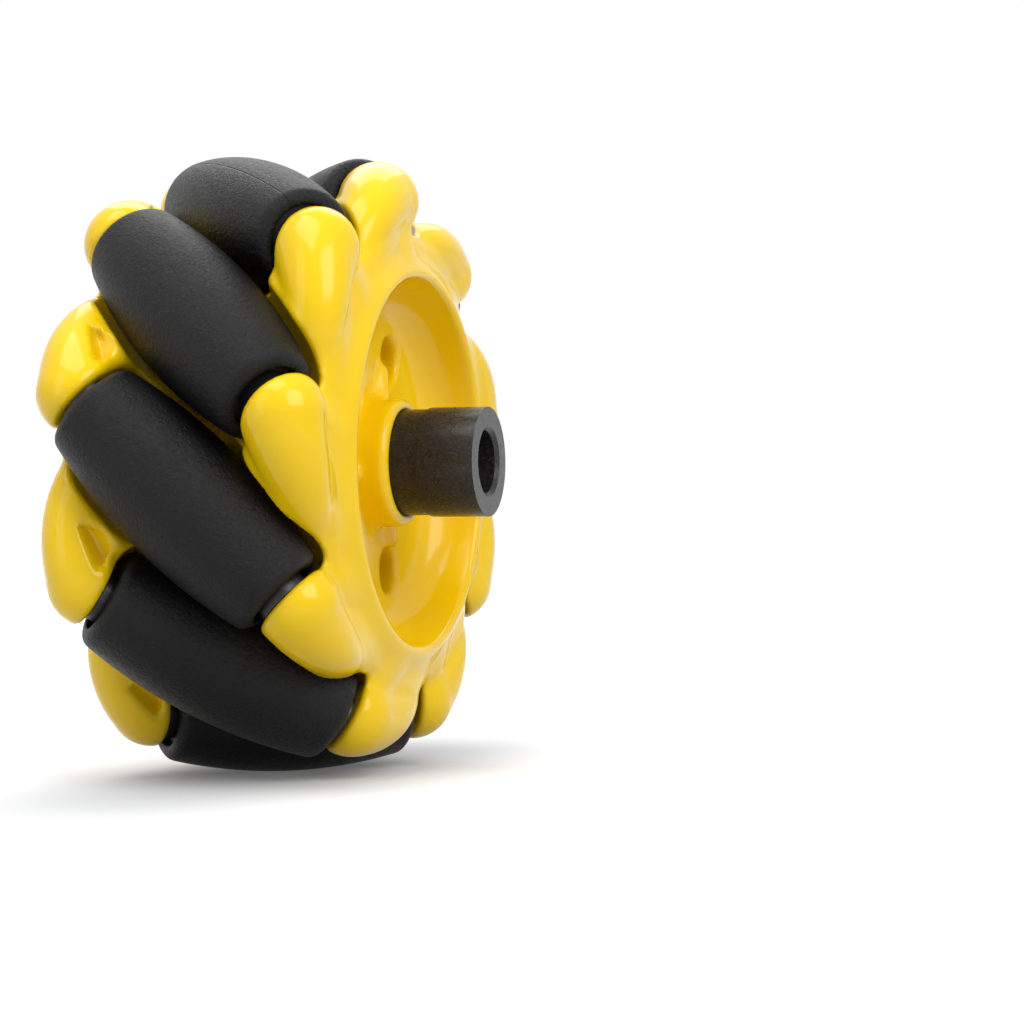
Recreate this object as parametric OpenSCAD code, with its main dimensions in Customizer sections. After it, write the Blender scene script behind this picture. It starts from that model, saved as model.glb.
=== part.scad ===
// Mecanum wheel, left hand. Two moulded hub halves with curved fingers hold a ring of
// barrel rollers, each tilted across the rim and free to spin on its own steel pin.
// The wheel's axle runs along Y, and the coupling tube stands out of the -Y face.

/* [Tread] */
// Diameter of the circle that the rollers run on
tread_d = 80; // [79:0.5:82]
// Number of rollers round the wheel
roller_count = 9; // [8:1:9]
// Angle between a roller's pin and the wheel's axle
roller_tilt = 45; // [44:0.5:46]

/* [Rollers] */
// How much thicker a roller's middle is than the nearest pass of two neighbouring pins
roller_excess = 0.3; // [0:0.05:0.4]
// Length of the rubber sleeve
sleeve_len = 32.6; // [31:0.1:33]
// Rounding of the sleeve's end edges
sleeve_edge = 1.3; // [0.6:0.1:1.6]
// Thickness of the rubber over the core at the sleeve's ends
sleeve_wall = 1.6; // [1.5:0.05:1.9]
// How far the core's ends lie inside the sleeve's ends
core_inset = 1.2; // [0.6:0.1:1.8]
// Bore through the core, between its bushes
core_bore_d = 3.6; // [3.3:0.1:4.2]

/* [Bushes and pins] */
// Diameter of the steel pin that a roller spins on
pin_d = 2.5; // [2:0.1:2.8]
// Radial running clearance between a pin and its bushes
pin_clearance = 0.03; // [0.02:0.01:0.08]
// Diameter of a bush where it is pressed into the core
bush_d = 5.2; // [4.8:0.1:6]
// Length of a bush inside the core
bush_len = 4; // [3:0.5:6]
// Diameter of a bush's collar
collar_d = 6.8; // [6.4:0.1:7.4]
// End play between a bush's collar and the finger beside it
end_play = 0.15; // [0.1:0.05:0.3]
// Depth of a pin's blind seat in its finger
pin_seat = 4; // [3:0.1:4.4]

/* [Fingers] */
// Gap between a sleeve's end and the flat face of its finger
finger_gap = 1; // [0.8:0.1:1.3]
// How far the fingers' outer sides lie inside the tread
finger_inset = 1.1; // [1:0.05:1.5]
// Radius of a finger's round head
head_r = 5.7; // [5.5:0.1:5.9]
// Distance from a finger's flat face to the middle of its head
head_back = 2.4; // [2.2:0.1:2.6]
// Radius of a finger's root, sunk in the rim
root_r = 4.4; // [4.2:0.1:4.6]
// How far the root lies inside the ring of the rollers' middles
root_inset = 4.9; // [4.5:0.1:5.3]
// How far round the wheel a finger sweeps from its head to its root
finger_sweep = 17; // [16:0.5:18]

/* [Hub] */
// Distance from the wheel's middle plane to the bowl's lip
lip_z = 19.4; // [19:0.1:20]
// How far the bowl's lip stands out from the drum
lip_flare = 2; // [1.6:0.1:2.4]
// Rounding of the lip
lip_edge = 0.9; // [0.5:0.1:1.2]
// Slope of the rim's outer face
rim_slope = 31; // [29:0.5:33]
// How far the widest part of the rim lies inside the tread
rim_inset = 6.2; // [6:0.1:7]
// Height at which the rim is widest
rim_z = 9.8; // [9.6:0.1:10.6]
// Distance from a roller's flank in to the drum
drum_gap = 2; // [1.6:0.1:2.4]
// Clearance round a roller in the hub's pockets
pocket_clearance = 1.1; // [0.8:0.1:1.3]
// Thickness of the drum's wall and the bowl's floor
wall = 2.4; // [2:0.1:2.8]
// Depth of the bowl
bowl_depth = 8; // [7.4:0.1:8.6]
// Rounding between the bowl's floor and its wall
bowl_round = 4.5; // [3.5:0.1:5]
// Draft of the bowl's wall, as its step from floor to lip
bowl_draft = 1.6; // [1.2:0.1:2]
// Depth of the hollow moulded in the flank of each finger
core_out = 0.4; // [0.2:0.1:0.6]
// Width of that hollow
window_w = 3.6; // [3:0.1:4]

/* [Boss and tube] */
// Outer diameter of the boss round the tube
boss_d = 16.6; // [16:0.1:17.4]
// How far the boss ends inside the lip
boss_inset = 2.5; // [2:0.1:3.5]
// Rounding of the boss's edge
boss_edge = 1; // [0.6:0.1:1.1]
// Outer diameter of the coupling tube
tube_d = 14; // [13.6:0.1:14.4]
// Bore of the coupling tube, for the drive shaft
tube_bore_d = 8; // [6:0.1:9]
// Bevel at the ends of the bore
bore_bevel = 0.5; // [0.3:0.1:0.8]
// How far the tube stands out past the lip
tube_reach = 8.4; // [6:0.1:12]
// How much slimmer the tube is inside the hub
tube_step = 0.4; // [0.2:0.1:0.6]
// Distance from the lip to the step on the tube
step_reach = 0.9; // [0.5:0.1:2]
// Width across the flats of the tube's drive flange
flange_w = 17; // [16.5:0.5:17.5]
// Thickness of the drive flange
flange_t = 6; // [4:0.5:7]

/* [Screws] */
// Number of screws that join the halves
screw_count = 3; // [3:1:3]
// Distance of the screws from the axle
screw_r = 16; // [15.8:0.1:16.2]
// Diameter of the screws' shanks
screw_d = 2.6; // [2:0.1:3]
// Length of a screw under its head
screw_len = 13; // [11:0.5:13.5]
// Diameter of a screw's head
head_d = 4.8; // [4.4:0.1:5.2]
// Height of a screw's head
head_h = 1.8; // [1.4:0.1:2.2]
// Diameter of the recess over a screw
recess_d = 6; // [5.8:0.1:6.2]
// Depth of that recess under the bowl's floor
recess_depth = 5.4; // [4.5:0.1:6]

/* [Hidden] */
$fn = 96;
// Nearest pass of two neighbouring pins, on a ring of radius 1
half_pitch = 180 / roller_count;
pin_pass = 2 * sin(half_pitch) / sqrt(1 + pow(tan(roller_tilt) * cos(half_pitch), 2));
roller_d = (pin_pass * tread_d / 2 + roller_excess) / (1 + pin_pass / 2);
ring_r = tread_d / 2 - roller_d / 2;
half_len = sleeve_len / 2;
// The flank of a roller is the arc through its middle and the true tread curve at its ends
drop = sqrt(pow(ring_r, 2) + pow(half_len * sin(roller_tilt), 2)) - ring_r;
flank_r = (pow(half_len, 2) + pow(drop, 2)) / (2 * drop);
face_s = half_len + finger_gap;
core_len = sleeve_len - 2 * core_inset;
core_d = roller_d - 2 * drop - 2 * sleeve_wall;
drum_r = ring_r - roller_d / 2 - drum_gap;
rim_r = tread_d / 2 - rim_inset;
lip_r = drum_r + lip_flare;
floor_z = lip_z - bowl_depth;
boss_z = lip_z - boss_inset;
tube_end = lip_z + tube_reach;
bowl_r = lip_r - bowl_draft;
post_d = recess_d + wall;
seat_z = floor_z - recess_depth;
sleeve_r = flange_w / 2 / cos(30) + 1.6;

// Angle round the wheel of roller i: the first stands straight below the axle
function roller_angle(i) = 270 + 360 / roller_count * (i - 1);

// Points of a round corner about c, from angle a to angle b
function corner(c, r, a, b, n = 6) =
    [for (i = [0:n]) c + r * [cos(a + (b - a) * i / n), sin(a + (b - a) * i / n)]];

// Point at radius a from the wheel's axle, turned from a roller's middle, at height z
function at(a, turn, z) = [a * cos(turn), a * sin(turn), z];

// From the wheel's own frame, with z out of the front face, to the part's frame
module wheel_frame() {
    rotate([90, 0, 0]) children();
}

// Places its children on roller i: z along its pin, x away from the wheel's axle
module on_roller(i) {
    rotate(roller_angle(i)) translate([ring_r, 0, 0]) rotate([-roller_tilt, 0, 0]) children();
}

// Barrel of a roller: its flank is one arc, and its ends are flat with round edges
module barrel() {
    h = half_len - sleeve_edge;
    axis_r = roller_d / 2 - flank_r;
    edge_r = axis_r + sqrt(pow(flank_r - sleeve_edge, 2) - h * h);
    touch_z = h * flank_r / (flank_r - sleeve_edge);
    rotate_extrude() union() {
        intersection() {
            translate([axis_r, 0]) circle(flank_r, $fn = 360);
            translate([0, -touch_z]) square([roller_d, 2 * touch_z]);
        }
        translate([0, -half_len]) square([edge_r, sleeve_len]);
        for (side = [-1, 1]) translate([edge_r, side * h]) circle(sleeve_edge);
    }
}

// Round limb from point a to point b, tapering from radius r1 to radius r2
module limb(a, b, r1, r2) {
    v = b - a;
    h = norm(v);
    translate(a) {
        sphere(r1);
        rotate([0, acos(v.z / h), atan2(v.y, v.x)]) cylinder(r1 = 0.995 * r1, r2 = r2, h = h);
    }
}

// Curved finger: a round head behind the roller's end, tapering back to its root in the rim
module finger() {
    head_s = face_s + head_back;
    head_turn = atan(head_s * sin(roller_tilt) / ring_r);
    limb(at(tread_d / 2 - finger_inset - head_r, head_turn, head_s * cos(roller_tilt)),
         at(ring_r - root_inset, head_turn + finger_sweep, face_s * cos(roller_tilt)), head_r, root_r);
}

// Section of the drum and the flared rim
module rim_section() {
    top_z = lip_z - (rim_r - lip_r) * tan(rim_slope);
    polygon([[0, 0], [drum_r, 0], [drum_r, 1], [rim_r - 1, rim_z - 1.4], [rim_r, rim_z],
        [rim_r, top_z - 0.6], [rim_r - 0.8, top_z + 0.6], [lip_r + 0.6, lip_z], [0, lip_z]]);
}

// Space round a roller: a cone to each side of its middle, flat at its fingers' faces
module pocket() {
    middle_r = roller_d / 2 + pocket_clearance;
    for (side = [0, 180]) rotate([side, 0, 0]) cylinder(r1 = middle_r, r2 = middle_r - drop, h = face_s);
}

// Rim and fingers with the rollers' pockets cut
module rim_and_fingers() {
    difference() {
        union() {
            rotate_extrude() rim_section();
            for (i = [1:roller_count]) rotate(roller_angle(i)) finger();
        }
        for (i = [1:roller_count]) on_roller(i) pocket();
    }
}

// Space inside the bowl, round the boss and its edge
module bowl() {
    rotate_extrude() difference() {
        polygon(concat(
            [[0, floor_z]],
            corner([bowl_r - bowl_round, floor_z + bowl_round], bowl_round, -90, 0),
            [[lip_r, lip_z - lip_edge]],
            corner([lip_r + lip_edge, lip_z - lip_edge], lip_edge, 180, 90, 4),
            [[lip_r + lip_edge, lip_z + 1], [0, lip_z + 1]]));
        polygon(concat(
            [[0, floor_z - 1], [boss_d / 2 + 0.6, floor_z - 1], [boss_d / 2 + 0.6, floor_z]],
            [[boss_d / 2, floor_z + 1.2]],
            corner([boss_d / 2 - boss_edge, boss_z - boss_edge], boss_edge, 0, 90),
            [[0, boss_z]]));
    }
}

// Ring-shaped hollow between the sleeve round the tube and the drum's wall
module inner_hollow() {
    rotate_extrude() translate([sleeve_r, -1]) square([drum_r - wall - sleeve_r, floor_z - wall + 1]);
}

// Places its children at each joining screw, the first one at the angle given
module at_screws(first = 180) {
    for (k = [0:screw_count - 1]) rotate(first + 360 / screw_count * k) translate([screw_r, 0, 0]) children();
}

// Same shape for both halves but for where the screw posts stand; each half cuts its own screw holes
module hub_half(first_post) {
    difference() {
        rim_and_fingers();
        bowl();
        difference() {
            inner_hollow();
            at_screws(first_post) translate([0, 0, -1]) cylinder(d = post_d, h = floor_z);
        }
        for (i = [1:roller_count]) on_roller(i) {
            cylinder(d = pin_d, h = 2 * (face_s + pin_seat), center = true);
            core_out_window();
        }
        translate([0, 0, -1]) cylinder(d = tube_d - tube_step, h = lip_z + 2);
        translate([0, 0, -1]) cylinder(d = flange_w / cos(30), h = flange_t / 2 + 1, $fn = 6);
    }
}

// Shallow three-sided hollow that keeps the finger's flank at the mould's wall thickness
module core_out_window() {
    along = half_len / 2;
    wall_r = roller_d / 2 + pocket_clearance - drop * along / face_s;
    translate([-window_w, -wall_r + window_w, along]) rotate([90, 0, 0])
        linear_extrude(window_w + core_out) circle(window_w / sqrt(3), $fn = 3);
}

module hub_front_half() {
    color("gold") wheel_frame() difference() {
        hub_half(180);
        at_screws() {
            translate([0, 0, seat_z]) cylinder(d = recess_d, h = bowl_depth + recess_depth);
            translate([0, 0, -1]) cylinder(d = screw_d, h = seat_z + 2);
        }
    }
}

module hub_back_half() {
    color("gold") wheel_frame() difference() {
        rotate([0, 180, 0]) hub_half(0);
        at_screws() translate([0, 0, seat_z - screw_len]) cylinder(d = screw_d, h = screw_len);
    }
}

module coupling_tube() {
    body_d = tube_d - tube_step;
    step_z = lip_z + step_reach;
    color([0.16, 0.15, 0.15]) wheel_frame() difference() {
        union() {
            translate([0, 0, -boss_z]) cylinder(d = body_d, h = boss_z + step_z);
            translate([0, 0, step_z]) cylinder(d = tube_d, h = tube_end - step_z);
            translate([0, 0, -flange_t / 2]) cylinder(d = flange_w / cos(30), h = flange_t, $fn = 6);
        }
        translate([0, 0, -boss_z - 1]) cylinder(d = tube_bore_d, h = boss_z + tube_end + 2);
        for (end = [[tube_end, 0], [-boss_z, 180]]) translate([0, 0, end[0]]) rotate([end[1], 0, 0])
            translate([0, 0, -bore_bevel])
                cylinder(d1 = tube_bore_d, d2 = tube_bore_d + 4 * bore_bevel, h = 2 * bore_bevel);
    }
}

module joining_screws() {
    color("silver") wheel_frame() at_screws() translate([0, 0, seat_z]) {
        translate([0, 0, -screw_len]) cylinder(d = screw_d, h = screw_len);
        cylinder(d = head_d, h = head_h);
    }
}

module rubber_sleeve(i) {
    color([0.13, 0.13, 0.14]) wheel_frame() on_roller(i) difference() {
        barrel();
        cylinder(d = core_d, h = sleeve_len + 2, center = true);
    }
}

module roller_core(i) {
    color([0.2, 0.2, 0.2]) wheel_frame() on_roller(i) difference() {
        cylinder(d = core_d, h = core_len, center = true);
        cylinder(d = core_bore_d, h = core_len + 2, center = true);
        for (side = [0, 180]) rotate([side, 0, 0])
            translate([0, 0, core_len / 2 - bush_len]) cylinder(d = bush_d, h = bush_len + 1);
    }
}

module roller_bushes(i) {
    color([0.1, 0.1, 0.1]) wheel_frame() on_roller(i) for (side = [0, 180]) rotate([side, 0, 0])
        difference() {
            union() {
                translate([0, 0, core_len / 2 - bush_len]) cylinder(d = bush_d, h = bush_len);
                translate([0, 0, core_len / 2]) cylinder(d = collar_d, h = face_s - end_play - core_len / 2);
            }
            cylinder(d = pin_d + 2 * pin_clearance, h = face_s);
        }
}

module roller_pin(i) {
    color("silver") wheel_frame() on_roller(i)
        cylinder(d = pin_d, h = 2 * (face_s + pin_seat), center = true);
}

hub_front_half();
hub_back_half();
coupling_tube();
joining_screws();
for (i = [1:roller_count]) {
    rubber_sleeve(i);
    roller_core(i);
    roller_bushes(i);
    roller_pin(i);
}
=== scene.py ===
"""Looks of the mecanum wheel: glossy moulded hub halves, grained rubber rollers and a black coupling tube."""
import math

import bpy
import numpy as np
from mathutils import Matrix, Vector


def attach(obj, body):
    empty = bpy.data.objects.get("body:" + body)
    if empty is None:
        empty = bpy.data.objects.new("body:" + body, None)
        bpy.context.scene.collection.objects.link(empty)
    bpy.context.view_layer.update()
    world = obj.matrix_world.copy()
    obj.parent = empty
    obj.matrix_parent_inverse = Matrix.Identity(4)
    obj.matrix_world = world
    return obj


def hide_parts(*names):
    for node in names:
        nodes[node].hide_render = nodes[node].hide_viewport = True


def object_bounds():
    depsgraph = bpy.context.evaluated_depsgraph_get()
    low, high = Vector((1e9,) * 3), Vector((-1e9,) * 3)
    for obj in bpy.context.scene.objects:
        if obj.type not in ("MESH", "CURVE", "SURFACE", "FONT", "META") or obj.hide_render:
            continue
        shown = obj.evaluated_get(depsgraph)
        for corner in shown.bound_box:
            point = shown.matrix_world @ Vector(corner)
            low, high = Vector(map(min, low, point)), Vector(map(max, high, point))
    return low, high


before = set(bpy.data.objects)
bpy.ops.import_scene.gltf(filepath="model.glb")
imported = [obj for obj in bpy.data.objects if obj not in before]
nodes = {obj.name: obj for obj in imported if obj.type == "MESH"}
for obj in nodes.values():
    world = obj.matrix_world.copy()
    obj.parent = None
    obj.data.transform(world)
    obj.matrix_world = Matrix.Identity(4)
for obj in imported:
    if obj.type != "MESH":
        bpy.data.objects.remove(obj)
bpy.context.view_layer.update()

# ---------------------------------------------------------------- sizes, in millimetres
# Radii (_R) are measured from the axle, heights (_Z) from the middle plane between the hub halves,
# and stations (_S) along a roller's pin from the roller's middle. An _EDGE or _FILLET says how round it is.
MM = 0.001
THIRD = 2 * math.pi / 3

TREAD_R = 40
ROLLERS = 9
STEP = 2 * math.pi / ROLLERS        # turn from one roller to the next
FIRST_TURN = 1.5 * math.pi          # the first roller stands straight below the axle
TILT = math.radians(45)             # between a roller's pin and the axle
ROLLER_D = 16.2
RING_R = TREAD_R - ROLLER_D / 2     # where the rollers' middles lie
SLEEVE_LEN = 32.6
SLEEVE_S = SLEEVE_LEN / 2
CORE_D = 9.0

# A roller's flank is one arc, which falls by this much at its ends. The arc's middle lies beyond the pin.
FLANK_DROP = math.hypot(RING_R, SLEEVE_S * math.sin(TILT)) - RING_R
FLANK_R = (SLEEVE_S ** 2 + FLANK_DROP ** 2) / (2 * FLANK_DROP)
FLANK_MIDDLE = ROLLER_D / 2 - FLANK_R

SLEEVE_EDGE = 1.5
RING_LEDGE = 0.35                   # flat ledge at a sleeve's end, round the recessed ring
RING_DEPTH = 0.3
SLEEVE_BORE_LEN = 3                 # how far into the bore the sleeve is drawn
SLEEVE_SEGMENTS = 96

POCKET_GAP = 1.1                    # between a roller's flank and the hub
FACE_S = SLEEVE_S + 1               # flat faces of the fingers, clear of the roller's ends
POCKET_CORNER = 2.4
POCKET_EDGE = 0.7

LIP_R = 23.8                        # lip round the bowl
LIP_Z = 19.4
LIP_EDGE = 0.8
DRUM_R = 21.8
RIM_R = 34.0
RIM_EDGE = 0.8
RIM_FILLET = 2.0                    # between the drum and the rim's underside
CONE_SLOPE = math.radians(31)       # front of the rim, which falls away from the lip
CONE_R = LIP_R + 0.4                # where the cone meets the lip's height
UNDER_SLOPE = math.atan(7.7 / 12.2)    # back of the rim, which rises from the drum
UNDER_Z = 1
DRUM_EDGE = 1.0

BOWL_R = LIP_R - 1.6                # at its floor; the wall leans out to the lip
FLOOR_Z = LIP_Z - 8
BOWL_CORNER = 4.5
BOWL_EDGE = 0.7
BOSS_R = 8.3
BOSS_Z = LIP_Z - 2.5
BOSS_BORE_R = 6.8
BOSS_EDGE = 1.6
FOOT_HEIGHT = 1.5                   # the boss widens towards its foot
FOOT_SLOPE = 0.5

SCREW_R = 16.0
RECESS_RADIUS = 3.0
RECESS_Z = FLOOR_Z - 5.4
RECESS_CORNER = 0.4
RECESS_EDGE = 0.9

RIB_TURN = math.radians(310)
RIB_LEN = 4.5
RIB_RISE = 0.6
RIB_RADIUS = 1.2
RIB_TIP_RADIUS = 1.0
RIB_FILLET = 1.2

HEAD_RADIUS = 5.2                   # round head of a finger
HEAD_S = FACE_S + 1.2
HEAD_Z = HEAD_S * math.cos(TILT)
HEAD_TURN = math.atan(HEAD_S * math.sin(TILT) / RING_R)    # from a roller's middle to the head that holds it
FINGERS_R = 38.7                    # how far out the heads reach
HEAD_R = FINGERS_R - HEAD_RADIUS
ARM_SWEEP = math.radians(28)        # how far an arm turns back from its head
ARM_SINK = 4.7
ARM_RISE = 7.5
ARM_RISE_KNEE = 0.3
ARM_RISE_LOSS = 0.84                # share of the rise that the arm's end has lost again
ARM_TAPER = 3.6
ARM_TAPER_KNEE = 0.25
WEB_R = 28.0                        # foot of the web that ties a head to the rim
WEB_Z = 12.9
WEB_TURN = math.radians(4)
WEB_RADIUS = 4.0
WEB_FILLET = 0.3
ARM_FILLET_R = (28.5, 31.5)         # the fillet from arm to rim is wide inside and tight near the head
ARM_FILLET = (3.2, 0.8)

WINDOW_CORNERS = ((-2.2, 12.6), (-8.2, 10.1), (-4.4, 9.1))    # length round the wheel, height
WINDOW_R = 33.8                     # floor of the hollow in an arm's outer side
WINDOW_EDGE = 0.4

CELL = 0.55                         # of the grid that the hub's surface is found on
GRID_R = 6.3                        # innermost ring of the grid, inside the boss's bore
GRID_DEPTH = 34                     # its span of radii, and the radius where its cells are CELL long round
GRID_Z = -0.5
GRID_HEIGHT = 21
AROUND = 1                          # axis of the grid that runs round the axle


# ---------------------------------------------------------------- signed distances, in the wheel's own frame
# x and y lie across the axle and z runs out of the front face.
def join(a, b, k):
    """Union of two solids with a fillet of about k in the corner between them."""
    h = np.clip(0.5 + 0.5 * (b - a) / k, 0, 1)
    return b + (a - b) * h - k * h * (1 - h)


def cut(a, b, k):
    """Solid a with b taken out, and the edge rounded by about k."""
    return -join(-a, b, k)


def both(a, b, k):
    """What solids a and b share, with the edge rounded by about k."""
    return -join(-a, -b, k)


def at(radius, turn, z):
    """Point, or points, at a radius from the axle, at this turn and height."""
    return np.stack([radius * np.cos(turn), radius * np.sin(turn), z], axis=-1)


def fold(turn, period):
    """Turn taken to within half a period of 0."""
    return np.mod(turn + period / 2, period) - period / 2


def limb(p, a, b, start_radius, end_radius):
    """Round limb from point a to point b."""
    along = b - a
    share = np.clip(((p - a) @ along) / (along @ along), 0, 1)
    return np.linalg.norm(p - a - share[:, None] * along, axis=1) - (
        start_radius + (end_radius - start_radius) * share)


def eased(t, knee):
    """Curve that starts flat and runs nearly straight beyond the knee."""
    return t ** 2 / (t + knee)


def finger(p, turn):
    """Curved finger that holds the front end of the roller at this turn."""
    head_turn = turn + HEAD_TURN
    # The arm sweeps back from its head, sinks and tapers; a web ties the head to the rim.
    t = np.clip((np.arctan2(p[:, 1], p[:, 0]) - head_turn) / ARM_SWEEP, 0, 1)
    rise = ARM_RISE * eased(t, ARM_RISE_KNEE) * (1 - ARM_RISE_LOSS * t)
    spine = at(HEAD_R - ARM_SINK * t ** 1.5, head_turn + ARM_SWEEP * t, HEAD_Z + rise)
    arm = np.linalg.norm(p - spine, axis=1) - (HEAD_RADIUS - ARM_TAPER * eased(t, ARM_TAPER_KNEE))
    head = at(HEAD_R, head_turn, HEAD_Z)
    foot = at(WEB_R, head_turn + WEB_TURN, WEB_Z)
    return join(arm, limb(p, head, foot, HEAD_RADIUS, WEB_RADIUS), WEB_FILLET)


def pocket(p, turn):
    """Space for the roller at this turn, with flat ends where its fingers' faces stand."""
    c, s = math.cos(turn), math.sin(turn)
    out = p[:, 0] * c + p[:, 1] * s - RING_R
    ahead = p[:, 1] * c - p[:, 0] * s
    across = ahead * math.cos(TILT) - p[:, 2] * math.sin(TILT)
    along = ahead * math.sin(TILT) + p[:, 2] * math.cos(TILT)
    flank = np.hypot(np.hypot(out, across) - FLANK_MIDDLE, along) - (FLANK_R + POCKET_GAP)
    return both(flank, np.abs(along) - FACE_S, POCKET_CORNER)


def window(r, turn, z):
    """Three-sided hollow in the outer side of each arm."""
    sides = []
    for (x0, z0), (x1, z1) in zip(WINDOW_CORNERS, WINDOW_CORNERS[1:] + WINDOW_CORNERS[:1]):
        length = math.hypot(x1 - x0, z1 - z0)
        sides.append(((z1 - z0) * (r * turn - x0) - (x1 - x0) * (z - z0)) / length)
    return both(np.maximum.reduce(sides), WINDOW_R - r, WINDOW_EDGE)


def ribs(r, turn, z):
    """Three short ribs from the boss's foot towards the screws."""
    start, end = at(BOSS_R, 0, FLOOR_Z + RIB_RISE), at(BOSS_R + RIB_LEN, 0, FLOOR_Z)
    return limb(at(r, fold(turn - RIB_TURN, THIRD), z), start, end, RIB_RADIUS, RIB_TIP_RADIUS)


def recesses(r, turn, z):
    """Three round recesses that the joining screws stand in."""
    near = fold(turn - math.pi, THIRD)
    reach = np.hypot(r * np.cos(near) - SCREW_R, r * np.sin(near))
    return both(reach - RECESS_RADIUS, RECESS_Z - z, RECESS_CORNER)


def rim(r, z):
    """Drum with its flared rim, turned round the axle."""
    cone = (z - LIP_Z) * math.cos(CONE_SLOPE) + (r - CONE_R) * math.sin(CONE_SLOPE)
    under = (r - DRUM_R) * math.sin(UNDER_SLOPE) - (z - UNDER_Z) * math.cos(UNDER_SLOPE)
    flare = both(both(cone, r - RIM_R, RIM_EDGE), under, DRUM_EDGE)
    drum = both(r - DRUM_R, cone, DRUM_EDGE)
    return both(join(drum, flare, RIM_FILLET), z - LIP_Z, LIP_EDGE)


def bowl(r, z):
    """Space inside the bowl, round the boss."""
    slope = (LIP_R - BOWL_R) / (LIP_Z - FLOOR_Z)
    wall = (r - BOWL_R - (z - FLOOR_Z) * slope) / math.hypot(1, slope)
    space = both(wall, FLOOR_Z - z, BOWL_CORNER)
    foot = np.clip(FLOOR_Z + FOOT_HEIGHT - z, 0, 2 * FOOT_HEIGHT) * FOOT_SLOPE
    boss = both(r - BOSS_R - foot, z - BOSS_Z, BOSS_EDGE)
    return cut(space, boss, BOSS_EDGE)


def hub_shape(p, is_front):
    """Signed distance to a hub half, in the place of the front one."""
    r, turn, z = np.hypot(p[:, 0], p[:, 1]), np.arctan2(p[:, 1], p[:, 0]), p[:, 2]
    from_middle = fold(turn - FIRST_TURN, STEP)    # turn from the nearest roller's middle
    folded = at(r, from_middle, z)
    solid = rim(r, z)
    fillet = np.interp(r, ARM_FILLET_R, ARM_FILLET)
    for k in (-2, -1, 0):
        solid = join(solid, finger(folded, k * STEP), fillet)
    for k in (-1, 0, 1):
        solid = cut(solid, pocket(folded, k * STEP), POCKET_EDGE)
    solid = cut(solid, bowl(r, z), BOWL_EDGE)
    solid = join(solid, ribs(r, turn, z), RIB_FILLET)
    if is_front:
        solid = cut(solid, recesses(r, turn, z), RECESS_EDGE)
    else:
        solid = cut(solid, window(r, from_middle, z), WINDOW_EDGE)
    solid = np.maximum(solid, BOSS_BORE_R - r)
    return np.maximum(solid, -z)


# ---------------------------------------------------------------- meshing
def turn_matrix(angle):
    c, s = math.cos(angle), math.sin(angle)
    return np.array([[c, -s, 0], [s, c, 0], [0, 0, 1]])


def of_cells(values, corner):
    """From values at the grid's points, those at one corner of every cell."""
    i, j, k = corner
    nr, nt, nz = (n - 1 for n in values.shape[:3])
    return values[i:nr + i, j:nt + j, k:nz + k]


def net_vertices(points, d, active):
    """One vertex in each active cell: the mean of the places where the surface crosses the cell's edges."""
    total = np.zeros((active.sum(), 3))
    hits = np.zeros(active.sum())
    for a in np.ndindex(2, 2, 2):
        for axis in range(3):
            if a[axis] == 1:
                continue
            b = tuple(1 if k == axis else a[k] for k in range(3))
            da, db = of_cells(d, a)[active], of_cells(d, b)[active]
            pa, pb = of_cells(points, a)[active], of_cells(points, b)[active]
            crossed = (da < 0) != (db < 0)
            share = np.where(crossed, da / np.where(crossed, da - db, 1), 0)[:, None]
            total += np.where(crossed[:, None], pa + share * (pb - pa), 0)
            hits += crossed
    return total / hits[:, None]


def net_quads(inside, ids):
    """Quads round the grid's edges that the surface crosses, and which corners lie one third back."""
    quads, backs = [], []
    for axis in range(3):
        start = of_cells(inside, (0, 0, 0))
        end = of_cells(inside, tuple(int(k == axis) for k in range(3)))
        u, v = (axis + 1) % 3, (axis + 2) % 3
        index = np.argwhere(start != end)
        for side in (u, v):
            if side != AROUND:
                index = index[index[:, side] > 0]
        ring, ring_back = [], []
        for du, dv in ((0, 0), (1, 0), (1, 1), (0, 1)):
            place = index.copy()
            place[:, u] -= du
            place[:, v] -= dv
            ring_back.append(place[:, AROUND] < 0)
            place[:, AROUND] %= ids.shape[AROUND]
            ring.append(ids[tuple(place.T)])
        # A quad faces the way its edge leaves the solid.
        leaves = start[tuple(index.T)][:, None]
        for kept, found in ((quads, np.stack(ring, axis=1)), (backs, np.stack(ring_back, axis=1))):
            kept.append(np.where(leaves, found, found[:, ::-1]))
    return np.concatenate(quads), np.concatenate(backs)


def hub_mesh(is_front):
    """Surface net of a hub half on a polar grid: one third of it, repeated three times."""
    def shape(p):
        return hub_shape(p, is_front)

    steps_round = int(THIRD * GRID_DEPTH / CELL)
    points = at(*np.meshgrid(GRID_R + CELL * np.arange(int(GRID_DEPTH / CELL) + 1),
                             THIRD / steps_round * np.arange(steps_round),
                             GRID_Z + CELL * np.arange(int(GRID_HEIGHT / CELL) + 1), indexing="ij"))
    d = shape(points.reshape(-1, 3)).reshape(points.shape[:3])
    # The next third starts with the same distances, so that the thirds meet exactly.
    d = np.concatenate([d, d[:, :1]], axis=1)
    points = np.concatenate([points, points[:, :1] @ turn_matrix(THIRD).T], axis=1)

    inside = d < 0
    count = sum(of_cells(inside, corner).astype(int) for corner in np.ndindex(2, 2, 2))
    active = (count > 0) & (count < 8)
    ids = -np.ones(active.shape, int)
    ids[active] = np.arange(active.sum())
    verts = net_vertices(points, d, active)
    quads, backs = net_quads(inside, ids)
    n = len(verts)
    faces = np.concatenate([quads + np.where(backs, (m - 1) % 3 * n, m * n) for m in range(3)])
    verts = np.concatenate([verts @ turn_matrix(m * THIRD).T for m in range(3)])
    return settle(verts, faces, shape), faces


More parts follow.
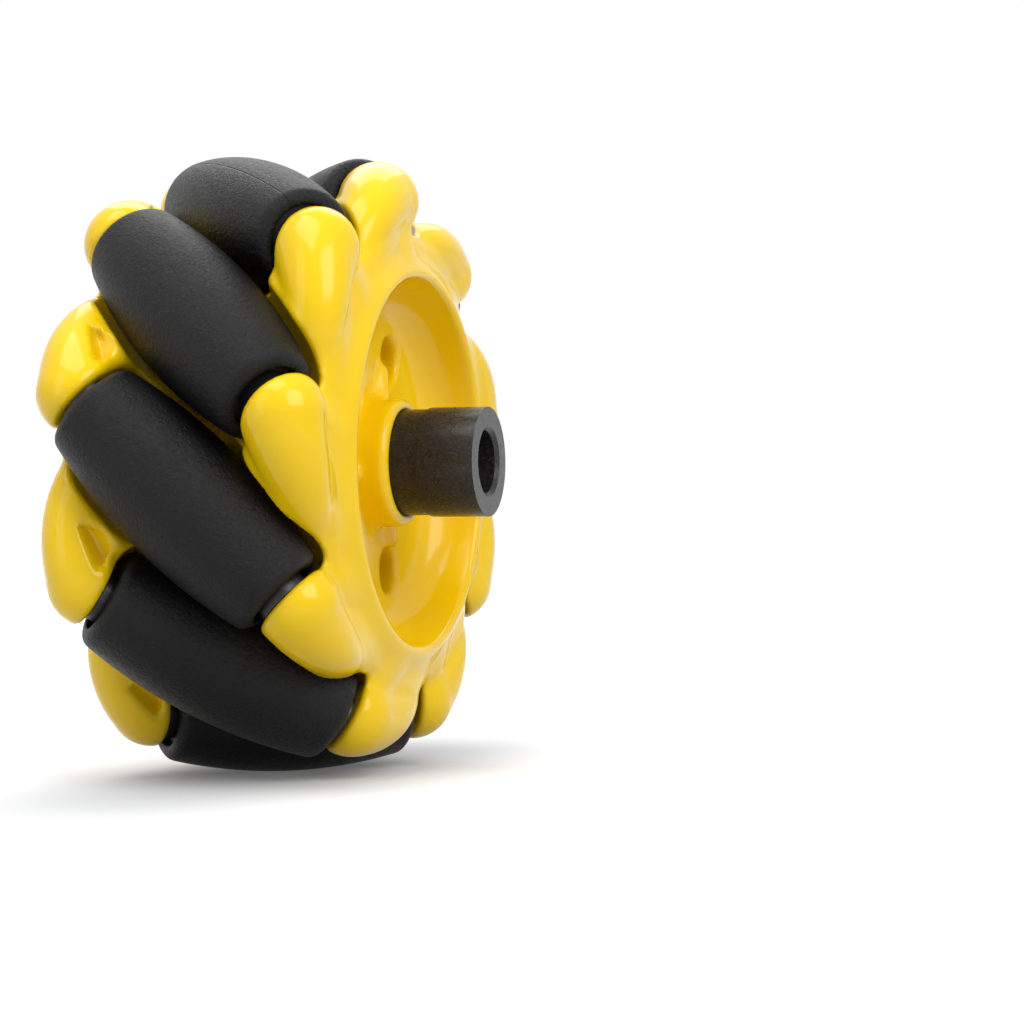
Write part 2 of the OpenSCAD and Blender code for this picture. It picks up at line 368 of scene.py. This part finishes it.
def slope_of(shape, p):
    """Gradient of a signed distance."""
    h = 0.02
    out = np.empty_like(p)
    for k in range(3):
        e = np.zeros(3)
        e[k] = h
        out[:, k] = (shape(p + e) - shape(p - e)) / (2 * h)
    return out


def settle(verts, faces, shape):
    """Evens the net out along the surface and brings each vertex onto it."""
    rounds, pulls = 4, 2
    longest_pull = 0.5
    least_slope = 0.2               # keeps a pull short where the distance is flat
    edges = np.concatenate([faces[:, [k, (k + 1) % 4]] for k in range(4)])
    for _ in range(rounds):
        total = np.zeros_like(verts)
        hits = np.zeros(len(verts))
        for a, b in ((0, 1), (1, 0)):
            np.add.at(total, edges[:, a], verts[edges[:, b]])
            np.add.at(hits, edges[:, a], 1)
        verts = verts + 0.5 * (total / np.maximum(hits, 1)[:, None] - verts)
        for _ in range(pulls):
            g = slope_of(shape, verts)
            pull = shape(verts) / np.maximum((g * g).sum(1), least_slope)
            verts = verts - np.clip(pull, -longest_pull, longest_pull)[:, None] * g
    return verts


def to_part(p):
    """From the wheel's own frame, in millimetres, to the part's frame, in metres."""
    return np.stack([p[:, 0], -p[:, 2], p[:, 1]], axis=1) * MM


def mesh_object(name, verts, faces, material, smooth=True):
    mesh = bpy.data.meshes.new(name)
    mesh.from_pydata([tuple(v) for v in verts], [], [tuple(int(i) for i in f) for f in faces])
    mesh.polygons.foreach_set("use_smooth", [smooth] * len(mesh.polygons))
    mesh.update()
    mesh.materials.append(material)
    piece = bpy.data.objects.new(name, mesh)
    bpy.context.scene.collection.objects.link(piece)
    return piece


# ---------------------------------------------------------------- materials
WHITE = (1, 1, 1, 1)
NOISE_LOW, NOISE_HIGH = 0.3, 0.7    # between these lies most of a noise


class Nodes:
    """Short way to write a node tree."""

    def __init__(self, tree):
        self.tree = tree

    def node(self, kind, **settings):
        made = self.tree.nodes.new(kind)
        for key, value in settings.items():
            setattr(made, key, value)
        return made

    def feed(self, socket, value):
        """Links the socket to another, or sets its plain value."""
        if isinstance(value, bpy.types.NodeSocket):
            self.tree.links.new(value, socket)
        else:
            socket.default_value = value

    def put(self, node, **values):
        """Feeds the node's sockets by name, with an underscore for each space."""
        for key, value in values.items():
            self.feed(node.inputs[key.replace("_", " ")], value)
        return node

    def remap(self, value, lo, hi, out_lo, out_hi, kind="LINEAR"):
        made = self.put(self.node("ShaderNodeMapRange", interpolation_type=kind), Value=value,
                        From_Min=lo, From_Max=hi, To_Min=out_lo, To_Max=out_hi)
        return made.outputs["Result"]

    def math(self, kind, a, b=0.0):
        made = self.node("ShaderNodeMath", operation=kind)
        self.feed(made.inputs[0], a)
        self.feed(made.inputs[1], b)
        return made.outputs[0]

    def seen(self):
        """1 for the camera's own rays and those it gets by a reflection or through glass, else 0."""
        path = self.node("ShaderNodeLightPath").outputs
        mirrored = self.math("MAXIMUM", path["Is Glossy Ray"], path["Is Transmission Ray"])
        return self.math("MAXIMUM", path["Is Camera Ray"], mirrored)


class Shader(Nodes):
    """Short way to write a node material."""

    def __init__(self, name):
        self.material = bpy.data.materials.new(name)
        self.material.use_nodes = True
        super().__init__(self.material.node_tree)
        self.bsdf = self.tree.nodes["Principled BSDF"]
        self.coords = self.node("ShaderNodeTexCoord").outputs["Object"]

    def set(self, **values):
        self.put(self.bsdf, **values)

    def noise(self, scale, detail, roughness=0.5, distortion=0.0, coords=None):
        made = self.put(self.node("ShaderNodeTexNoise"), Vector=coords or self.coords, Scale=scale,
                        Detail=detail, Roughness=roughness, Distortion=distortion)
        return made.outputs["Fac"]

    def vary(self, scale, detail, low, high):
        """Noise spread from low to high."""
        return self.remap(self.noise(scale, detail), NOISE_LOW, NOISE_HIGH, low, high)

    def scaled(self, factors):
        made = self.put(self.node("ShaderNodeMapping"), Vector=self.coords, Scale=factors)
        return made.outputs["Vector"]

    def distance(self, factors):
        """Distance from the object's origin, with each axis stretched by its own factor."""
        stretched = self.node("ShaderNodeVectorMath", operation="MULTIPLY")
        self.feed(stretched.inputs[0], self.coords)
        self.feed(stretched.inputs[1], factors)
        made = self.node("ShaderNodeVectorMath", operation="LENGTH")
        self.feed(made.inputs[0], stretched.outputs["Vector"])
        return made.outputs["Value"]

    def blend(self, share, a, b):
        """Colour a where the share is 0, and b where it is 1."""
        made = self.node("ShaderNodeMix", data_type="RGBA")
        self.feed(made.inputs[0], share)
        self.feed(made.inputs[6], (*a, 1))
        self.feed(made.inputs[7], (*b, 1))
        return made.outputs[2]

    def bump(self, height, distance, strength):
        made = self.put(self.node("ShaderNodeBump"), Height=height, Distance=distance, Strength=strength)
        return made.outputs["Normal"]


def hub_plastic():
    """Glossy yellow moulded plastic, with the faint waviness of a moulding."""
    s = Shader("hub_plastic")
    s.set(Base_Color=s.blend(s.vary(60, 3, 0, 1), (0.955, 0.615, 0.002), (0.985, 0.655, 0.003)),
          Roughness=s.vary(500, 5, 0.11, 0.19), Specular_IOR_Level=0.3,
          Normal=s.bump(s.noise(140, 2), distance=0.00005, strength=0.5))
    s.set(Subsurface_Weight=0.06, Subsurface_Scale=0.002, Subsurface_Radius=(1.0, 0.6, 0.05))
    return s.material


def rubber():
    """Near-black moulded rubber with a fine leathery grain and the line of its mould."""
    s = Shader("rubber")
    wrinkle = s.noise(1900, 3, roughness=0.62, distortion=0.8)
    grain = s.math("ADD", wrinkle, s.math("MULTIPLY", s.noise(6500, 2, roughness=0.6), 0.3))
    # The map runs once round a sleeve, so the line lies at every half turn.
    around = s.put(s.node("ShaderNodeSeparateXYZ"), Vector=s.node("ShaderNodeTexCoord").outputs["UV"])
    line = s.remap(s.math("PINGPONG", around.outputs["X"], 0.25), 0.0008, 0.0026, 1, 0)
    height = s.math("SUBTRACT", grain, s.math("MULTIPLY", line, 1.6))
    s.set(Base_Color=s.blend(s.vary(150, 4, 0, 1), (0.003, 0.003, 0.0033), (0.0048, 0.0048, 0.0052)),
          Roughness=s.remap(wrinkle, NOISE_LOW, NOISE_HIGH, 0.34, 0.5), Specular_IOR_Level=0.2,
          Normal=s.bump(height, distance=0.0002, strength=1.0))
    return s.material


def plain(name, color, rough, metal=0.0):
    """Plain material with its own grain and a little uneven gloss."""
    s = Shader(name)
    dark = tuple(0.8 * c for c in color)
    s.set(Base_Color=s.blend(s.vary(300, 4, 0, 1), dark, color), Metallic=metal,
          Roughness=s.vary(900, 3, rough - 0.06, rough + 0.06),
          Normal=s.bump(s.noise(900, 3), distance=0.00002, strength=0.6))
    return s.material


def tube_finish():
    """Satin black tube with turning marks, fine specks and a few faint scratches."""
    s = Shader("tube_metal")
    speck = s.remap(s.noise(3400, 3, roughness=0.75), 0.48, 0.66, 0, 0.5)
    winding = s.noise(210, 1, roughness=0.4, distortion=0.6)
    off_scratch = s.math("ABSOLUTE", s.math("SUBTRACT", winding, 0.52))
    worn_here = s.remap(s.noise(160, 2), 0.56, 0.62, 0, 1)
    worn = s.math("MULTIPLY", s.remap(off_scratch, 0.0, 0.004, 1, 0), worn_here)
    turned = s.noise(420, 2, coords=s.scaled((1, 9, 1)))
    height = s.math("ADD", s.math("MULTIPLY", s.noise(2600, 3), 0.6), s.math("MULTIPLY", turned, 0.3))
    s.set(Base_Color=s.blend(s.math("MAXIMUM", speck, worn), (0.012, 0.011, 0.011), (0.08, 0.072, 0.068)),
          Roughness=s.vary(900, 4, 0.22, 0.36), Specular_IOR_Level=0.34,
          Normal=s.bump(height, distance=0.00004, strength=0.7))
    return s.material


def floor_finish():
    """White floor: pale by colour, and lifted to white where it is looked at, more so away from the wheel's
    foot; the weak lift at the foot is painted shade.
    """
    s = Shader("floor_white")
    # Painted shade: the glow is weakest at the wheel's foot and grows outwards, faster along the axle than
    # across it. This darkens the floor round the foot beyond its real shadow and paints over the lamps' side
    # shadows with light.
    near = s.remap(s.distance((0.7, 2.2, 0)), 0.01, 0.075, 0.1, 0.6, "SMOOTHSTEP")
    far = s.remap(s.distance((1, 1, 0)), 0.1, 0.45, 0, 0.38)
    s.set(Base_Color=s.blend(s.vary(30, 3, 0, 1), (0.5, 0.505, 0.52), (0.52, 0.525, 0.54)),
          Roughness=s.vary(200, 3, 0.7, 0.8), Specular_IOR_Level=0.0,
          Normal=s.bump(s.noise(600, 3), distance=0.00001, strength=0.2),
          Emission_Color=WHITE, Emission_Strength=s.math("MULTIPLY", s.seen(), s.math("ADD", near, far)))
    return s.material


finishes = {
    "hub_plastic": hub_plastic(),
    "rubber": rubber(),
    "tube_metal": tube_finish(),
    "screw_steel": plain("screw_steel", (0.2, 0.18, 0.1), 0.4, metal=0.8),
    "core_plastic": plain("core_plastic", (0.02, 0.02, 0.02), 0.5),
    "bush_plastic": plain("bush_plastic", (0.012, 0.012, 0.013), 0.35),
    "pin_steel": plain("pin_steel", (0.5, 0.5, 0.52), 0.3, metal=1.0),
}


def dress(node, finish):
    """Gives a piece of the frame its finish."""
    materials = nodes[node].data.materials
    materials.clear()
    materials.append(finishes[finish])


dress("coupling_tube", "tube_metal")
dress("joining_screws", "screw_steel")
for i in range(1, ROLLERS + 1):
    dress(f"roller_core_{i}", "core_plastic")
    dress(f"roller_bushes_{i}", "bush_plastic")
    dress(f"roller_pin_{i}", "pin_steel")

# ---------------------------------------------------------------- hub halves
front_verts, front_faces = hub_mesh(is_front=True)
front = mesh_object("hub_front_moulding", to_part(front_verts), front_faces, finishes["hub_plastic"])
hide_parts("hub_front_half")
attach(front, "hub")

back_verts, back_faces = hub_mesh(is_front=False)
back_verts = back_verts * (-1, 1, -1)    # turned half round the upright axis
back = mesh_object("hub_back_moulding", to_part(back_verts), back_faces, finishes["hub_plastic"])
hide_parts("hub_back_half")
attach(back, "hub")


# ---------------------------------------------------------------- rubber sleeves
# Each roller stands at its own turn, so the mould lines lie in different places, given in whole turns.
LINE_ROLLER = 7
LINE_TURN = 0.23                    # on that roller
LINE_STEP = 0.09                    # from each roller to the next


def sleeve_half():
    """Half of a sleeve's section, as radius and station: from its middle, over its edge, into the bore."""
    edge_s = SLEEVE_S - SLEEVE_EDGE
    arc_r = FLANK_R - SLEEVE_EDGE
    lean = math.asin(edge_s / arc_r)
    edge_r = FLANK_MIDDLE + math.sqrt(arc_r ** 2 - edge_s ** 2)
    flank = [(FLANK_MIDDLE + FLANK_R * math.cos(a), FLANK_R * math.sin(a)) for a in np.linspace(0, lean, 17)]
    edge = [(edge_r + SLEEVE_EDGE * math.cos(a), edge_s + SLEEVE_EDGE * math.sin(a))
            for a in np.linspace(lean, math.pi / 2, 9)[1:]]
    ledge_r = edge_r - RING_LEDGE
    bore_r = CORE_D / 2
    ring = [(ledge_r, SLEEVE_S), (ledge_r - 0.1, SLEEVE_S - 0.1), (ledge_r - 0.2, SLEEVE_S - RING_DEPTH)]
    bore = [(bore_r + 0.2, SLEEVE_S - RING_DEPTH), (bore_r, SLEEVE_S - RING_DEPTH - 0.2),
            (bore_r, SLEEVE_S - SLEEVE_BORE_LEN)]
    return flank + edge + ring + bore


def sleeve(i):
    """Rubber sleeve of roller i, turned round its pin; its map runs round and along it."""
    half = sleeve_half()
    section = [(r, -s) for r, s in half[:0:-1]] + half
    turn = FIRST_TURN + STEP * (i - 1)
    out = at(1, turn, 0)
    ahead = np.array([-math.sin(turn), math.cos(turn), 0])
    forward = np.array([0, 0, 1])    # out of the front face
    across = ahead * math.cos(TILT) - forward * math.sin(TILT)
    along = ahead * math.sin(TILT) + forward * math.cos(TILT)
    verts = [out * RING_R + along * s + r * (out * math.cos(a) + across * math.sin(a))
             for a in np.arange(SLEEVE_SEGMENTS) * 2 * math.pi / SLEEVE_SEGMENTS for r, s in section]
    spin = LINE_TURN + LINE_STEP * ((i - LINE_ROLLER) % ROLLERS)
    n = len(section)
    faces, maps = [], []
    for k in range(SLEEVE_SEGMENTS):
        here, after = k * n, (k + 1) % SLEEVE_SEGMENTS * n
        u, next_u = k / SLEEVE_SEGMENTS + spin, (k + 1) / SLEEVE_SEGMENTS + spin
        for j in range(n - 1):
            faces.append((here + j, after + j, after + j + 1, here + j + 1))
            maps += [(u, j / n), (next_u, j / n), (next_u, (j + 1) / n), (u, (j + 1) / n)]
    piece = mesh_object(f"sleeve_{i}", to_part(np.array(verts)), faces, finishes["rubber"])
    layer = piece.data.uv_layers.new(name="around")
    layer.data.foreach_set("uv", np.array(maps).ravel())
    return piece


for i in range(1, ROLLERS + 1):
    piece = sleeve(i)
    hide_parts(f"rubber_sleeve_{i}")
    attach(piece, f"roller_{i}")

# ---------------------------------------------------------------- camera, at the photograph's viewing angle
VIEW_AZIMUTH = math.radians(-72.68)
VIEW_ELEVATION = math.radians(-1.354)
VIEW_ROLL = math.radians(0.164)
VIEW_DISTANCE = 0.32657
SENSOR_WIDTH = 36                   # in millimetres, as the lens
LENS = 87.89
LEFT_OF_MIDDLE = 0.02947            # where the wheel's centre lies in the picture, at its own distance
ABOVE_MIDDLE = 0.0063

back_dir = Vector((math.sin(VIEW_AZIMUTH) * math.cos(VIEW_ELEVATION),
                   -math.cos(VIEW_AZIMUTH) * math.cos(VIEW_ELEVATION), math.sin(VIEW_ELEVATION)))
level = Vector((math.cos(VIEW_AZIMUTH), math.sin(VIEW_AZIMUTH), 0))
upright = back_dir.cross(level)
right = level * math.cos(VIEW_ROLL) + upright * math.sin(VIEW_ROLL)
up = upright * math.cos(VIEW_ROLL) - level * math.sin(VIEW_ROLL)
camera_data = bpy.data.cameras.new("camera")
camera_data.lens = LENS
camera_data.sensor_width = SENSOR_WIDTH
camera_data.clip_start = 0.01
camera = bpy.data.objects.new("camera", camera_data)
camera_place = back_dir * VIEW_DISTANCE + right * LEFT_OF_MIDDLE - up * ABOVE_MIDDLE
camera.matrix_world = Matrix.Translation(camera_place) @ Matrix((right, up, back_dir)).transposed().to_4x4()
bpy.context.scene.collection.objects.link(camera)
bpy.context.scene.camera = camera


# ---------------------------------------------------------------- lamps, sky and floor
def softbox(name, place, energy, size):
    """Rectangular lamp aimed at the wheel's middle."""
    data = bpy.data.lights.new(name, "AREA")
    data.energy = energy
    data.shape = "RECTANGLE"
    data.size, data.size_y = size
    made = bpy.data.objects.new(name, data)
    made.location = place
    made.rotation_euler = (-Vector(place)).to_track_quat("-Z", "Y").to_euler()
    bpy.context.scene.collection.objects.link(made)


softbox("top_softbox", (-0.17, 0.08, 0.46), 1.2, (0.4, 0.28))
softbox("back_softbox", (0.3, 0.1, 0.4), 0.8, (0.4, 0.3))
softbox("front_softbox", (-0.26, -0.44, 0.32), 2.1, (0.4, 0.4))
softbox("left_softbox", (-0.46, 0.3, 0.2), 0.5, (0.25, 0.5))


def studio_world():
    """Soft sky that gives more light from above, and plain white wherever it is looked at."""
    world = bpy.data.worlds.new("studio")
    world.use_nodes = True
    sky = Nodes(world.node_tree)
    coords = sky.node("ShaderNodeTexCoord").outputs
    way = sky.put(sky.node("ShaderNodeSeparateXYZ"), Vector=coords["Generated"])
    light = sky.put(sky.tree.nodes["Background"], Color=WHITE,
                    Strength=sky.remap(way.outputs["Z"], -0.1, 0.9, 0.22, 0.45))
    white = sky.put(sky.node("ShaderNodeBackground"), Color=WHITE, Strength=1.0)
    pick = sky.node("ShaderNodeMixShader")
    for socket, value in zip(pick.inputs, (sky.seen(), light.outputs[0], white.outputs[0])):
        sky.feed(socket, value)
    sky.feed(sky.tree.nodes["World Output"].inputs["Surface"], pick.outputs[0])
    return world


bpy.context.scene.world = studio_world()

FLOOR_REACH = 3
floor_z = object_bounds()[0][2]
floor_corners = [(x * FLOOR_REACH, y * FLOOR_REACH, floor_z) for x, y in ((-1, -1), (1, -1), (1, 1), (-1, 1))]
floor = mesh_object("floor", floor_corners, [(0, 1, 2, 3)], floor_finish(), smooth=False)

bpy.context.scene.view_settings.view_transform = "Standard"
